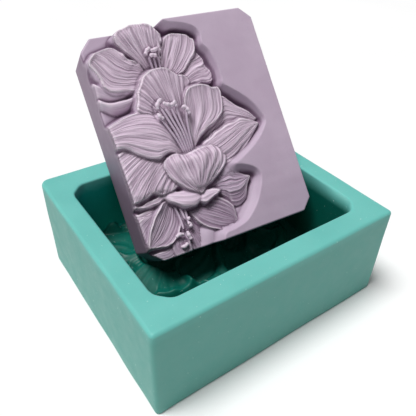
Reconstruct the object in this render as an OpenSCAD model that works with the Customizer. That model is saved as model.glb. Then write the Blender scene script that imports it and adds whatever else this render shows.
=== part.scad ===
// Silicone soap mould with a lily relief, and the soap bar cast in it, lifted out and leaning on the rim.
// The origin is the centre of the mould's base. X runs along the long side, and +Z points out of the cavity.

/* [Mould block] */
// Length of the silicone block, along X
mould_l = 100; // [94:1:120]
// Width of the silicone block, along Y
mould_w = 88; // [80:1:105]
// Height of the silicone block
mould_h = 38.5; // [34:0.5:48]
// Radius of three of the block's upright corners
corner_r = 1.2; // [0.6:0.1:3]
// Radius of the softer corner, at the far left
soft_corner_r = 3.6; // [0.6:0.1:6]
// Height of the bevel that takes the sharpness off the top edge
rim_bevel = 0.8; // [0.2:0.1:2]
// Silicone under the flat part of the cavity floor
floor_t = 7.2; // [6.4:0.1:7.2]
// How far the cavity sits towards the near long side
cavity_shift = 0.9; // [0:0.1:3]

/* [Soap bar] */
// Length of the bar and of the cavity
bar_l = 84; // [76:1:88]
// Width of the bar and of the cavity
bar_w = 68; // [62:1:72]
// Thickness of the bar from its back to its flat face
bar_t = 25.4; // [20:0.2:28]
// Cut across each corner of the bar's outline
corner_cut = 4.5; // [2:0.5:6]

/* [Lily relief] */
// How far the ground round the flowers is sunk below the bar's flat face
ground_depth = 7.6; // [4:0.2:9]
// Width of the slope from the flat face down to the ground
ground_slope = 3; // [1:0.5:5]
// Spacing of the grid that carries the relief
relief_step = 2; // [1.8:0.1:4]

/* [Leaning bar] */
// Lean of the bar back from upright, in degrees
lean = 40.8; // [40:0.1:41.5]
// Turn of the bar about the vertical, in degrees
turn = -6.5; // [-8:0.1:-5]
// Turn of the bar in the plane of its face, in degrees, which lifts its right end
roll = 1.4; // [1:0.1:2]
// Where the left end of the bar's lower back edge stands, along X
stand_x = -27.7; // [-29:0.1:-27]
// Where the left end of the bar's lower back edge stands, along Y
stand_y = 7.8; // [7:0.1:8]
// Height of the bar's lower back edge above the base
stand_z = 10.8; // [10.8:0.1:14]

/* [Hidden] */
$fn = 48;

silicone_colour = [0.36, 0.72, 0.65];
soap_colour = [0.74, 0.66, 0.75];

// The cavity runs this far past the top of the block, so that the cut is open.
overshoot = 1;
cavity_depth = mould_h - floor_t;

// Edge of the sunk ground on the bar's face, as [height up the bar, distance from its left side].
// Each inward step between two scallops is where two petals meet.
ground_edge = [
    [0, 26.2], [2.2, 29], [4.1, 37.8], [8.7, 43.7], [13.7, 47.4], [17.9, 49.4], [20.4, 49.7],
    [22.5, 47.8], [24.6, 43.7], [25.4, 40.5], [27.1, 43.7], [30.4, 50.3], [33.7, 54.5], [37, 58.3],
    [40.8, 58.7], [47.1, 55.3], [52.1, 50.3], [56.1, 45.6], [58.3, 46.2], [62.9, 46.2], [68.7, 44.9],
    [72.1, 42.7], [76.2, 43.3], [79.2, 41.2], [80.8, 36.2], [82, 31.2], [84, 29.6]
];

// Width and length of the bar that the petals' places are given on.
petals_w = 68;
petals_l = 84;
// A petal's outline along its length: above 1 moves the widest place towards the tip.
widest_bias = 1.16;
// Below 1 makes both ends of a petal blunter.
end_bluntness = 0.6;
// Half width that a petal keeps at its very ends.
least_half_w = 0.01;

// One row for each petal:
// [root, tip, sideways bow, half width, height at the root, middle and tip, crown across].
// Heights are measured from the bar's flat face.
petals = [
    [[20.5, 64], [18.5, 86], -0.5, 9.6, [-6.0, -3.0, -4.2], 1.2],
    [[18.5, 63.5], [-3, 70.5], -1.5, 8.2, [-6.0, -3.0, -4.4], 1.2],
    [[17, 57], [-4, 57], 1, 3.6, [-5.5, -5.0, -5.0], 1.4],
    [[24, 62.5], [41, 76], 1.8, 6.8, [-5.5, -2.0, -1.4], 1.0],
    [[26, 62], [43.2, 58], -3, 5.2, [-6.0, -3.4, -3.8], 1.4],
    [[25, 44], [21.5, 67.5], -0.8, 10.5, [-3.6, -1.4, 0], 1.2],
    [[29, 37], [56.4, 39.5], -6.5, 5.5, [-3.6, -2.2, -2.4], 1.2],
    [[26.5, 35.5], [43.8, 56.4], 1, 8, [-3.6, -0.4, 0.4], 1.0],
    [[29, 33.5], [56.6, 38.3], 2, 6, [-3.2, -0.2, -1.6], 1.8],
    [[19, 33], [-5, 24.5], -1, 8.3, [-3.2, -2.6, -4.2], 1.4],
    [[23, 35], [-4, 46.5], -3.5, 7.6, [-3.6, 0.2, -1.4], 1.6],
    [[27.5, 20], [45.9, 19.5], 2.2, 7.4, [-2.8, -2.2, -2.4], 1.2],
    [[16, 15.5], [36, 5.5], -1.5, 6.2, [-4.5, -2.4, -2.6], 0.8],
    [[13.5, 19.5], [-2, 3.8], 1, 5.6, [-4.5, -3.4, -5.0], 1.4],
    [[15.5, 17], [20.5, -5], -1.5, 5.6, [-5.5, -4.8, -4.8], 0.4],
    [[13, 10], [9, -4], 0, 4, [-6.4, -5.8, -5.8], 0.4],
    [[13, 21.5], [-5, 18.5], 0.5, 2.6, [-4, -3.8, -4.8], 1.0],
    [[12, 13], [44, 17], 0, 9, [-4.2, -3.6, -4.2], 0.4],
    [[9.5, 19.8], [33, 17.8], 0.2, 4.2, [-2, -0.4, -1.4], 1.0],
    [[26.3, 37], [24.3, 18.3], 0, 12.2, [-1.6, 0.4, -0.4], 1.6]
];

function clamp01(x) = max(0, min(1, x));

// Height of the ground: zero on the flat face, and sunk left of the scalloped edge.
function ground(u, v) = -ground_depth * clamp01((lookup(v, ground_edge) - u) / ground_slope);

// Height of one petal at a point, or far below everything where the petal doesn't reach.
function petal_height(p, u, v) =
    let (
        run = p[1] - p[0],
        along = clamp01(((u - p[0].x) * run.x + (v - p[0].y) * run.y) / (run * run)),
        across = ((v - p[0].y) * run.x - (u - p[0].x) * run.y) / norm(run)
            - p[2] * 4 * along * (1 - along),
        half = max(least_half_w, p[3] * pow(sin(180 * pow(along, widest_bias)), end_bluntness)),
        share = across / half,
        spine = p[4][0] * (1 - along) * (1 - 2 * along) + p[4][1] * 4 * along * (1 - along)
            + p[4][2] * along * (2 * along - 1)
    )
    abs(share) < 1 ? spine + p[5] * (1 - share * share) : -2 * ground_depth;

// Height of the finished relief: the highest petal at a point, or the ground.
function relief(u, v) =
    max([ground(u, v), for (p = petals) petal_height(p, u * petals_w / bar_w, v * petals_l / bar_l)]);

// Rows of the grid. Two rows fall on the ends of each corner cut.
row_count = round((bar_l - 2 * corner_cut) / relief_step);
rows = concat(
    [0, corner_cut / 2],
    [for (i = [0:row_count]) corner_cut + i * (bar_l - 2 * corner_cut) / row_count],
    [bar_l - corner_cut / 2, bar_l]
);
column_count = round(bar_w / relief_step);
last_row = len(rows) - 1;
function row_inset(v) = max(0, corner_cut - v, corner_cut - (bar_l - v));
function point_index(row, column) = row * (column_count + 1) + column;

// Grid points once round the edge of the relief, anticlockwise as seen from the face.
border = concat(
    [for (i = [0:column_count - 1]) point_index(0, i)],
    [for (r = [0:last_row - 1]) point_index(r, column_count)],
    [for (i = [column_count:-1:1]) point_index(last_row, i)],
    [for (r = [last_row:-1:1]) point_index(r, 0)]
);
border_count = len(border);

// The casting: a block with cut corners, its back on the plane z = 0 and its lily face at z = thickness.
module casting(thickness) {
    face_points = [
        for (v = rows, i = [0:column_count])
            let (u = row_inset(v) + i * (bar_w - 2 * row_inset(v)) / column_count)
                [u, v, thickness + relief(u, v)]
    ];
    back_points = [for (k = border) [face_points[k].x, face_points[k].y, 0]];
    first_back = len(face_points);
    back_centre = first_back + border_count;
    face_triangles = [
        for (r = [0:last_row - 1], i = [0:column_count - 1])
            let (
                a = point_index(r, i), b = point_index(r, i + 1),
                d = point_index(r + 1, i), e = point_index(r + 1, i + 1)
            )
                each [[a, d, e], [a, e, b]]
    ];
    walls = [
        for (k = [0:border_count - 1])
            let (next = (k + 1) % border_count)
                [first_back + k, border[k], border[next], first_back + next]
    ];
    back_triangles = [
        for (k = [0:border_count - 1])
            [back_centre, first_back + k, first_back + (k + 1) % border_count]
    ];
    polyhedron(
        points = concat(face_points, back_points, [[bar_w / 2, bar_l / 2, 0]]),
        faces = concat(face_triangles, walls, back_triangles),
        convexity = 6
    );
}

// Outline of the block, drawn in by inset all round.
module block_outline(inset) {
    x = mould_l / 2 - inset;
    y = mould_w / 2 - inset;
    hull() {
        for (side = [[1, 1], [1, -1], [-1, -1]])
            translate([side.x * (x - corner_r), side.y * (y - corner_r)]) circle(corner_r);
        translate([soft_corner_r - x, y - soft_corner_r]) circle(soft_corner_r);
    }
}

// Silicone block with the open cavity. The cavity is the casting turned face down,
// so its floor is the bar's lily face in negative.
module silicone_mould() {
    color(silicone_colour)
        difference() {
            union() {
                linear_extrude(mould_h - rim_bevel) block_outline(0);
                translate([0, 0, mould_h - rim_bevel]) linear_extrude(rim_bevel) block_outline(rim_bevel / 2);
            }
            translate([bar_l / 2, bar_w / 2 - cavity_shift, mould_h + overshoot])
                multmatrix([[0, -1, 0, 0], [-1, 0, 0, 0], [0, 0, -1, 0], [0, 0, 0, 1]])
                    casting(cavity_depth + overshoot);
        }
}

// Soap bar, standing on its lower back edge in the cavity and leaning on the far rim.
module soap_bar() {
    color(soap_colour)
        translate([stand_x, stand_y, stand_z])
            rotate([90 - lean, 0, turn])
                rotate(roll)
                    casting(bar_t);
}

silicone_mould();
soap_bar();
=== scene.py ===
"""A silicone soap mould with a lily relief, and the soap bar cast in it leaning on its rim.

The relief is worked out once, as a height over the bar's face in millimetres. The bar's lily face
and the mould's cavity floor are both made from it, one as it is and the other turned over.
"""

import math

import bpy
import numpy as np
from mathutils import Matrix, Vector
from mathutils.bvhtree import BVHTree


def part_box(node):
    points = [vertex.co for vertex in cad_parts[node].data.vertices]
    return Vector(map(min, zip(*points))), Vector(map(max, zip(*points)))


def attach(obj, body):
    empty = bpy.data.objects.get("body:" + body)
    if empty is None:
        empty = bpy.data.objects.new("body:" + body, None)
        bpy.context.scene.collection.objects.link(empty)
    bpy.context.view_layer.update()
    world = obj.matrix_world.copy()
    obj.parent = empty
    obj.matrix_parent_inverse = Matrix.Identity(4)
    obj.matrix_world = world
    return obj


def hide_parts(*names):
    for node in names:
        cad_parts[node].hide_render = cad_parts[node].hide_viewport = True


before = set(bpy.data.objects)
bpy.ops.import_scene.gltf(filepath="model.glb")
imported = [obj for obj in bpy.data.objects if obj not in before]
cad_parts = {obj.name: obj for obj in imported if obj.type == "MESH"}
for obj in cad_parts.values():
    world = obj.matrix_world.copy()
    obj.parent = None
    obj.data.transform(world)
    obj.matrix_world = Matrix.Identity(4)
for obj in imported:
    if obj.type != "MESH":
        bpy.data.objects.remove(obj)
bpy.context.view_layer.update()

MM = 0.001

# ---- camera and light
CAMERA_PLACE = (-82.2, -112.8, 138)  # mm, in the mould's frame
CAMERA_AZIMUTH = -35.7
CAMERA_ELEVATION = 37.1
CAMERA_ROLL = 1.6
CAMERA_LENS = 39.9  # mm on a 36 mm sensor
SUN_DIRECTION = (0.306, -0.094, -1)
SUN_STRENGTH = 2.87
SUN_SIZE = 24  # degrees across
SKY_STRENGTH = 0.2

# ---- fineness of the meshes
BAR_STEP = 0.262  # mm between points of the bar's face
FLOOR_STEP = 0.36  # mm between points of the cavity floor
PETAL_ACROSS = 170
PETAL_ALONG = 90
EDGE_ROLL = 0.3  # how far a petal's edge turns down
EDGE_POINTS = 420  # along the edge of the sunk ground
CELL_SPOTS = ((-0.25, -0.25), (0.25, -0.25), (-0.25, 0.25), (0.25, 0.25))  # in steps, round each point
VEIN_DEPTH = 3  # how many times each petal's own vein depth the veins are cut

# ---- shape of the relief, in mm
GROUND_DEPTH = 7.6
COVE_WIDTH = 0.95  # how much of its given width the slope beside the lilies takes
SHALLOW = -1.2  # ground above this height isn't covered by the beds
NOTHING = -99.0  # height where there is no petal or bed
ABOVE_ALL = 12.0  # height from which the petals are looked down on
CORNER_CUT = 4.5
CORNER_SOFT = 1.6  # radius where the bar's sides meet its corner cuts
CAVITY_SOFT = 4.6  # the same in the cavity
VIEW_SPOT = (-40.2, 14.9, 153.1)  # across and up the bar, and out from its face

# Edge of the sunk ground round the lilies: (distance from the bar's left side, height up the bar,
# depth of the ground there, width of the slope down to it).
GROUND_EDGE = [
    (26.4, -1.5, 3.5, 3.2), (28.2, 2.2, 3.5, 3.2), (32.4, 2.8, 3.6, 3.4), (38.2, 4.4, 3.6, 3.6),
    (43.9, 8.9, 3.8, 4.2), (47.6, 13.9, 4.2, 4.4), (49.6, 18.1, 5, 4), (49.4, 20.6, 5.4, 3.4),
    (47.6, 22.7, 5.2, 3.2), (43.9, 24.7, 3.6, 3.2), (41.2, 25.7, 2.4, 3), (44.2, 27, 2.2, 3),
    (50.3, 30.2, 2.4, 3), (54.8, 33.4, 3, 3), (57.8, 36.6, 4.2, 2.8), (59, 38.6, 5.4, 2.8),
    (58.6, 41.2, 6.4, 2.8), (55.4, 47.2, 7, 2.8), (50.4, 52.2, 7.2, 2.8), (46.4, 55.6, 7.2, 2.6),
    (46.4, 58.6, 7.4, 2.8), (46.3, 63, 7.6, 2.8), (45, 68.8, 7.6, 2.8), (43, 72.3, 7.6, 2.6),
    (43.4, 76.4, 7.6, 2.8), (41.2, 79.4, 7.6, 2.8), (36.4, 81.2, 7.6, 2.8), (32.4, 81.9, 7.6, 2.6),
    (30.6, 83.6, 7.6, 2.4), (29.8, 87, 7.6, 2.4),
]

# Beds: broad low mounds that close the gaps inside each lily: (centre, half widths, height).
BEDS = [
    ((19, 67), (22, 15), -6.2), ((24, 42), (26, 20), -4.9), ((30, 22), (13, 8), -4.4), ((16, 10), (20, 14), -6),
]


def askew(u, v):
    """The lilies lie a little askew on the casting, higher on the left."""
    return u + 0.2, v + 0.25 + 0.005 * (v - 2 * u)


def sighted(points):
    """Outlines are given where they line up on the flat face, seen from VIEW_SPOT, and with their
    depth under it. This moves each point along its line of sight to its own depth."""
    su, sv, sn = VIEW_SPOT
    placed = [(*askew(u, v), -depth) for u, v, depth in points]
    return [(u - n * (u - su) / sn, v - n * (v - sv) / sn, n) for u, v, n in placed]


PLAIN_PETAL = dict(crown=0.8, peak=0.5, folds=(0.25, 2.5), veins=(9, 0.34), lip=0.3, ruffle=0.15, tone=1)


def petal(left, right, end=(), **shape):
    """One petal. left and right are its two edges from root to tip, and end is points across its tip,
    each as (distance from the bar's left side, height up the bar, depth under the flat face).
    crown is the rise between the edges and peak where across the petal it is highest. folds and
    veins are the height and number of its broad waves and the number and depth of its fine grooves.
    lip is the raised edge, ruffle the unevenness of the edge, and tone how pale its surface is; petals that lie
    in shade get a low tone, which is painted shade."""
    return {**PLAIN_PETAL, **shape, "left": sighted(left), "right": sighted(right), "end": sighted(end)}


TOP_LILY = dict(
    top=petal(
        [(19.5, 63, 6.2), (16.6, 68.5, 4.9), (13.4, 72.5, 3.9), (11.4, 76, 3.1)],
        [(22.5, 63, 6.2), (25, 69, 3.9), (27, 74, 2.6), (28.4, 77.4, 2.3)],
        [(10.6, 78.6, 2.5), (11.8, 80.6, 1.8), (14.4, 82.2, 1.4), (18, 83.1, 1.1), (22.4, 83, 1.1),
         (25.6, 81.8, 1.5), (27.6, 79.6, 2)],
        crown=0.7, folds=(0.22, 4), veins=(11, 0.42), lip=0.2),
    left=petal(
        [(17.6, 62.5, 5), (14, 60.4, 3.8), (9, 59.9, 3), (4.4, 60.6, 2.6), (2.4, 62.8, 2.6), (1.3, 66.2, 2.8),
         (0.6, 68.8, 3), (-0.6, 71.2, 3.2)],
        [(17.8, 65.6, 5.4), (17, 68.2, 4.5), (15.4, 70, 4), (13.9, 70.6, 3.6), (12, 73.2, 3.3),
         (9.8, 75.5, 3.2), (7.4, 76.1, 3.3), (4.6, 75.7, 3.4)],
        [(-0.4, 72.8, 3.2), (1, 73.9, 3.3), (2.3, 75, 3.4)],
        crown=-0.3, folds=(0.6, 2.1), veins=(8, 0.36), lip=0.75),
    left_under=petal(
        [(18, 63.4, 5.6), (13.4, 61.9, 4.8), (10.6, 61, 4.5), (6, 60.5, 4.3), (2.6, 61.4, 4.2), (1, 62.9, 4.2),
         (-0.6, 64.6, 4.2), (-4, 66.5, 4.4)],
        [(18.4, 61.2, 6.6), (12.6, 59, 6.3), (9.8, 58, 6.1), (5.7, 57.3, 5.9), (1.9, 57.6, 5.9),
         (-1.2, 59.2, 5.9), (-4, 61, 6)],
        crown=0.7, folds=(0.2, 1.5), veins=(3, 0.08), lip=0, ruffle=0.05, tone=0.45),
    fold=petal(
        [(20, 62, 6.6), (15.8, 60.2, 6), (12.6, 58.5, 5.7), (9.8, 57.6, 5.5), (5.7, 57, 5.3), (1.9, 57.2, 5.3),
         (-1.2, 58.8, 5.4), (-4, 60.6, 5.6)],
        [(20, 58.6, 8.4), (14.3, 55.4, 8.2), (11.2, 53.7, 8.1), (8.9, 52.6, 8), (5.1, 51.8, 7.9),
         (1.7, 52.2, 7.8), (-0.9, 54, 7.8), (-4, 56.4, 7.8)],
        crown=1.8, peak=0.34, folds=(0.3, 1.4), veins=(3, 0.08), lip=0, ruffle=0.05, tone=0.45),
    right=petal(
        [(22.6, 63.5, 5.8), (25, 69.5, 4.8), (26.6, 73.2, 4), (28.6, 76.5, 3.2)],
        [(25.5, 60.8, 5.4), (28.6, 61.8, 4.6), (31.8, 63, 3.6), (35.3, 65.8, 2.8), (37.8, 68, 2.2),
         (39.6, 70.5, 1.7), (40.4, 72.6, 1.3), (40.5, 74.7, 1.2)],
        [(31, 77.7, 2.7), (34, 77.6, 2.3), (37, 76.9, 1.9), (38.6, 76.1, 1.7), (39.1, 75.2, 1.6)],
        crown=0.3, folds=(0.5, 3), veins=(9, 0.42), lip=0.5, ruffle=0.08),
    right_under=petal(
        [(28, 61.5, 5.4), (32, 65.5, 4.9), (36, 68.6, 4.4), (39.4, 70.2, 4)],
        [(29, 56, 4.8), (33.4, 57, 4.2), (36.6, 57.6, 3.9), (39.2, 57.4, 3.9), (41, 56.9, 3.9),
         (42.2, 57.6, 3.9), (42.9, 58.6, 3.9)],
        [(40.9, 67.4, 3.8), (41.8, 64.4, 3.7), (42.4, 61.6, 3.7)],
        crown=1.1, folds=(0.3, 2.5), veins=(8, 0.42), lip=0.2),
)

MIDDLE_LILY = dict(
    top=petal(
        [(22.6, 40, 5), (19, 46, 4), (14.6, 50, 3), (10.6, 52.3, 2.4)],
        [(26, 40, 5), (28.6, 47, 4), (31, 54, 3.2), (33.4, 59.4, 2.6)],
        [(11, 54.2, 2), (12.2, 57.2, 1.6), (13.7, 60.4, 1.3), (16, 63.5, 1), (19.2, 65.7, 0.6),
         (22.6, 66.3, 0.3), (25.4, 66, 0.4), (27.8, 64.3, 0.7), (29.8, 62.7, 1.1), (32, 62, 1.6)],
        crown=0.7, folds=(0.16, 4), veins=(13, 0.38), lip=0.35, ruffle=0.12),
    upper_right=petal(
        [(25.8, 34.6, 4.8), (27.2, 41, 3.6), (27.6, 46, 2.6), (28.3, 51, 1.6), (29.4, 54.2, 1)],
        [(26.6, 34.2, 4.4), (30.6, 38.6, 2.4), (34.8, 41.2, 1.4), (38.6, 42.8, 0.9), (41.8, 45, 0.5),
         (43.4, 47.8, 0.2), (44.1, 51, -0.2), (44.4, 53.2, -0.4), (43.9, 55.3, -0.5)],
        [(31.4, 56.6, 0.5), (34.2, 57.7, 0.1), (37.6, 57.6, -0.2), (40.2, 56.7, -0.3), (41.6, 55.4, -0.3)],
        crown=-0.35, folds=(0.6, 2.2), veins=(9, 0.36), lip=0.5, ruffle=0.04),
    back_right=petal(
        [(31, 38, 5), (36, 46, 4), (43, 51.6, 3.2), (46.8, 49.2, 2.9), (50.4, 46.2, 2.7), (53.4, 43.2, 2.6),
         (55.8, 39.8, 2.6)],
        [(31, 34, 5), (36, 37.6, 4.2), (41, 40, 3.6), (46, 40.6, 3.2), (50.6, 40, 3), (53.8, 39.4, 2.8),
         (55.8, 39.8, 2.6)],
        crown=0.9, folds=(0.3, 2.5), veins=(7, 0.4), lip=0.2),
    right=petal(
        [(27.4, 33.4, 4), (31.6, 36.6, 2.9), (36.8, 38.8, 2.1), (42, 40.6, 1.6), (47.6, 41.6, 1.4),
         (52.4, 40.6, 1.5), (54.6, 39.4, 1.5), (56.3, 38.7, 1.4)],
        [(27.4, 28.6, 3.8), (33.4, 26.2, 3), (38.4, 26.6, 2.2), (42.8, 28.4, 1.8), (46.8, 30.9, 1.5),
         (50.6, 33.7, 1.4), (53.8, 36.4, 1.3), (56.3, 38.7, 1.2)],
        crown=1.4, peak=0.46, folds=(0.4, 2.5), veins=(10, 0.42), lip=0.15),
    left=petal(
        [(22.6, 33.6, 4), (20, 34.6, 2.6), (17.2, 35.8, 1.8), (14.6, 35.1, 2), (12, 34.3, 2), (8.6, 35.7, 2),
         (5.4, 38, 2.1), (2.6, 40.1, 2.2), (-0.4, 41.3, 2.3), (-5, 42.4, 2.5)],
        [(23.2, 35.4, 4.4), (21.6, 38.6, 4.1), (20.6, 42.4, 3.8), (19.8, 46.2, 3.5), (18.6, 49.2, 3.2),
         (16.6, 51, 3), (12, 52.1, 2.9), (6.6, 51.6, 3), (2, 50.2, 3.1), (-5, 47.6, 3.6)],
        crown=2, peak=0.3, folds=(0.5, 2.4), veins=(10, 0.4), lip=0.35, ruffle=0.12),
    lower_left=petal(
        [(8.5, 42.5, 3.3), (-1.5, 39.5, 3.1), (-12, 33, 3.4)],
        [(20, 28.5, 3.2), (18.4, 26.2, 2.8), (17, 24.1, 2.6)],
        [(-12, 27, 3.5), (-8, 22.6, 3.2), (-3, 22.2, 3), (1.2, 21.7, 2.8), (4, 22.5, 2.5), (6.6, 23.4, 2.4),
         (9.6, 22.3, 2.6), (12.8, 22, 2.5), (15.2, 23.2, 2.4)],
        crown=1.3, folds=(0.4, 3), veins=(15, 0.42), lip=0.4),
    lower_left_under=petal(
        [(12.5, 21.8, 4), (9, 21.9, 3.8), (5.6, 21.8, 3.6), (2, 21, 3.6), (-4, 21.2, 3.8)],
        [(11.5, 20.3, 4.2), (8.4, 19.9, 4), (5.2, 19.1, 3.9), (2, 19.5, 3.9), (-4, 19.7, 4.2)],
        crown=0.4, folds=(0, 0), veins=(3, 0.2), lip=0.25, ruffle=0.3),
    lower_left_deep=petal(
        [(11, 20.2, 5.6), (7.4, 19.4, 5.5), (3.4, 18.4, 5.4), (-4, 18.6, 5.4)],
        [(10, 18.6, 6.2), (6.6, 16.8, 6), (3, 15.4, 5.8), (-4, 15.4, 5.8)],
        crown=0.3, folds=(0, 0), veins=(3, 0.2), lip=0.1),
    heart=petal(
        [(24.5, 18.5, 0.9), (21.6, 20.1, 1.2), (18.6, 22.3, 1.4), (16.2, 24.5, 1.5), (14.4, 27.1, 1.6),
         (13.5, 29.4, 1.7), (13.2, 31.4, 1.8), (14, 33.2, 2)],
        [(24.5, 18.5, 0.9), (27, 20.6, 1.2), (30.3, 22.1, 1.3), (33.8, 24.3, 1.4), (36.8, 26.7, 1.6),
         (38.1, 29.4, 1.7), (38.1, 31.4, 1.8), (37, 33.2, 2.1)],
        [(16.2, 34.6, 2.1), (19, 35, 2.2), (21.4, 33.9, 2.6), (23.8, 34.3, 2.2), (27, 34.6, 1.8),
         (30.4, 35.1, 1.7), (34.2, 34.7, 1.8)],
        crown=2.7, folds=(0.5, 4.5), veins=(13, 0.62), ruffle=0.08),
)

# The lower lily's petals get a low tone: painted shade, as they lie in shade near the mould.
LOWER_LILY = dict(
    curl_left=petal(
        [(8.8, 21.6, 3.8), (10.3, 20.2, 3.5), (11.7, 18.4, 3.2), (13.5, 16.9, 3), (15.8, 15.5, 2.8),
         (18.4, 14.9, 2.8), (20.8, 15.4, 2.7), (22.8, 16.6, 2.6), (24.6, 18.2, 2.6)],
        [(8.8, 22, 3.8), (11.9, 22.4, 3.5), (14.8, 22.2, 3.2), (17.8, 21.6, 2.9), (20.4, 20.6, 2.8),
         (22.4, 19.8, 2.7), (23.8, 19.2, 2.6), (24.6, 18.4, 2.6)],
        crown=1.3, peak=0.36, folds=(0.25, 1.6), veins=(5, 0.1), lip=0.1, tone=0.9),
    curl_right=petal(
        [(21.8, 16.8, 2.6), (23.1, 15.3, 2), (24.6, 14.8, 1.8), (26.6, 15.4, 1.7), (28.4, 16.2, 1.6),
         (30.3, 17, 1.5), (32.2, 17.9, 1.4)],
        [(21.8, 18, 2.8), (23.6, 19.2, 2.6), (25.8, 19.7, 2.4), (28.2, 19.5, 2.1), (30.3, 18.9, 1.8),
         (32.2, 17.9, 1.4)],
        crown=0.9, peak=0.45, folds=(0.2, 1.5), veins=(4, 0.12), lip=0.2, ruffle=0.05, tone=0.8),
    right_upper=petal(
        [(26.5, 16.5, 4.4), (30, 16.6, 4), (33.2, 13.6, 3.6), (34.2, 10.9, 3.3), (36.8, 10.2, 3.1),
         (39.6, 11.6, 2.9), (41.6, 14.2, 2.6), (43, 16.6, 2.4), (44.4, 18.4, 2.2), (45.4, 19.8, 1.9)],
        [(26.5, 20.6, 4.2), (29.6, 22, 3.8), (33, 24.2, 3.4), (36, 25.6, 3), (37.8, 23.9, 2.8),
         (40.2, 22.3, 2.6), (42.8, 21, 2.4), (45.4, 19.8, 1.9)],
        crown=1.2, folds=(0.35, 2.5), veins=(10, 0.44), ruffle=0.12, tone=0),
    right=petal(
        [(15.8, 15.5, 6), (17.6, 12.4, 4.8), (19.2, 9.8, 3.8), (20.8, 7.6, 3.2), (23.2, 5.5, 2.8),
         (26.4, 4.2, 2.5), (30, 4, 2.4), (32.8, 5, 2.3)],
        [(17.6, 18.5, 5.8), (22.4, 17.6, 4.8), (27, 16.8, 4), (30.6, 15.4, 3.2), (33.2, 13, 2.8),
         (34.8, 10.4, 2.4), (34.9, 8.2, 2.2), (34.4, 6.6, 2.2)],
        [(33.9, 5.7, 2.2)],
        crown=-0.3, folds=(0.45, 2.4), veins=(9, 0.42), lip=0.5, ruffle=0.12, tone=0),
    left=petal(
        [(11.6, 20.4, 5), (8.8, 19.6, 3.4), (5.2, 16.4, 3), (2.4, 13, 2.9), (0.4, 9.6, 3), (-1.2, 5.6, 3.4)],
        [(14.6, 19, 6.2), (13.4, 14.4, 5.6), (12.6, 10, 5), (9.8, 6.4, 4.2), (5.8, 4.5, 3.8), (-1.2, 5.6, 3.4)],
        crown=-1.3, peak=0.42, folds=(0.25, 2), veins=(8, 0.34), lip=0.5, ruffle=0.1, tone=0.4),
    outer_left=petal(
        [(8, 19, 5), (3, 17.2, 4.8), (-2, 15.4, 5), (-5, 10, 5.4)],
        [(8, 17, 5), (4, 12, 5), (1, 7, 5.2), (-5, 4, 5.6)],
        crown=0.2, folds=(0, 0), veins=(3, 0.2), lip=0.1, tone=0.2),
    bottom_right=petal(
        [(13.6, 12, 6.2), (14.2, 8, 5.8), (14.4, 3.4, 5.4), (14.2, -2.6, 5.2)],
        [(16.6, 12.2, 6), (19.6, 8.6, 5.4), (22.7, 4.5, 4.9), (21.4, 0.6, 4.9)],
        [(17, -3.4, 5.2), (20, -1.4, 5)],
        crown=0.5, folds=(0.25, 2.5), veins=(8, 0.36), lip=0.25, tone=0.1),
    bottom_middle=petal(
        [(8, 8, 5.8), (7, 4.2, 5), (7.2, 1, 4.9), (8.2, -3.2, 5)],
        [(14.6, 8, 5.8), (14.4, 3.6, 5), (13.8, 0.4, 4.9), (12.6, -3.2, 5)],
        crown=0.4, folds=(0, 0), veins=(5, 0.26), lip=0.25, tone=0.1),
    bottom_left=petal(
        [(10, 7, 6.2), (5.6, 4, 5.6), (1.2, 3.8, 5.5), (-3, 3.2, 5.6)],
        [(10, 2, 6.2), (7.4, -0.6, 6), (4, -1.6, 5.9), (-3, 0.6, 5.8)],
        crown=0.4, folds=(0, 0), veins=(4, 0.24), lip=0.2, tone=0),
)

# Stamens: the routes of the filaments and of the anthers, in the same terms.
FILAMENTS = [sighted(route) for route in (
    [(22.3, 34, 3.8), (20.9, 40, 2.4), (18.6, 46.4, 1.4), (17.6, 49, 0.9)],
    [(23, 34, 3.4), (22, 41, 1.7), (20.4, 47, 0.8), (19, 52, 0.3)],
    [(23.8, 34, 3.2), (23.2, 41, 1.4), (21.8, 47, 0.6), (20.5, 51.6, 0.2)],
    [(24.6, 34.2, 3.2), (24.4, 41, 1.4), (23.4, 47, 0.6), (22.8, 51.4, 0.2)],
    [(25.4, 34.4, 3.4), (25.4, 41, 1.8), (24.9, 47, 1), (24.7, 51.4, 0.4)],
    [(26, 34.8, 3.8), (26.6, 41, 2.5), (27.4, 46, 1.6), (28.3, 49, 0.9)],
    [(21, 63.5, 5.4), (20.9, 67, 4.6), (20.8, 70.6, 3.4)],
    [(22.2, 63.5, 5.4), (22.4, 67, 4.5), (22.5, 70.2, 3.3)],
    [(23.4, 64, 5.4), (23.9, 67, 4.7), (24, 70.4, 3.5)],
    [(13.2, 19, 5.4), (14.2, 15, 4.8), (14.7, 11.6, 4.2)],
    [(14.6, 19, 5.4), (15.6, 15, 4.9), (15.4, 9.6, 4)],
    [(12, 18.6, 5.6), (12.9, 13, 5.2), (13, 8.6, 4.2)],
)]
FILAMENT_RADIUS = 0.44
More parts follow.
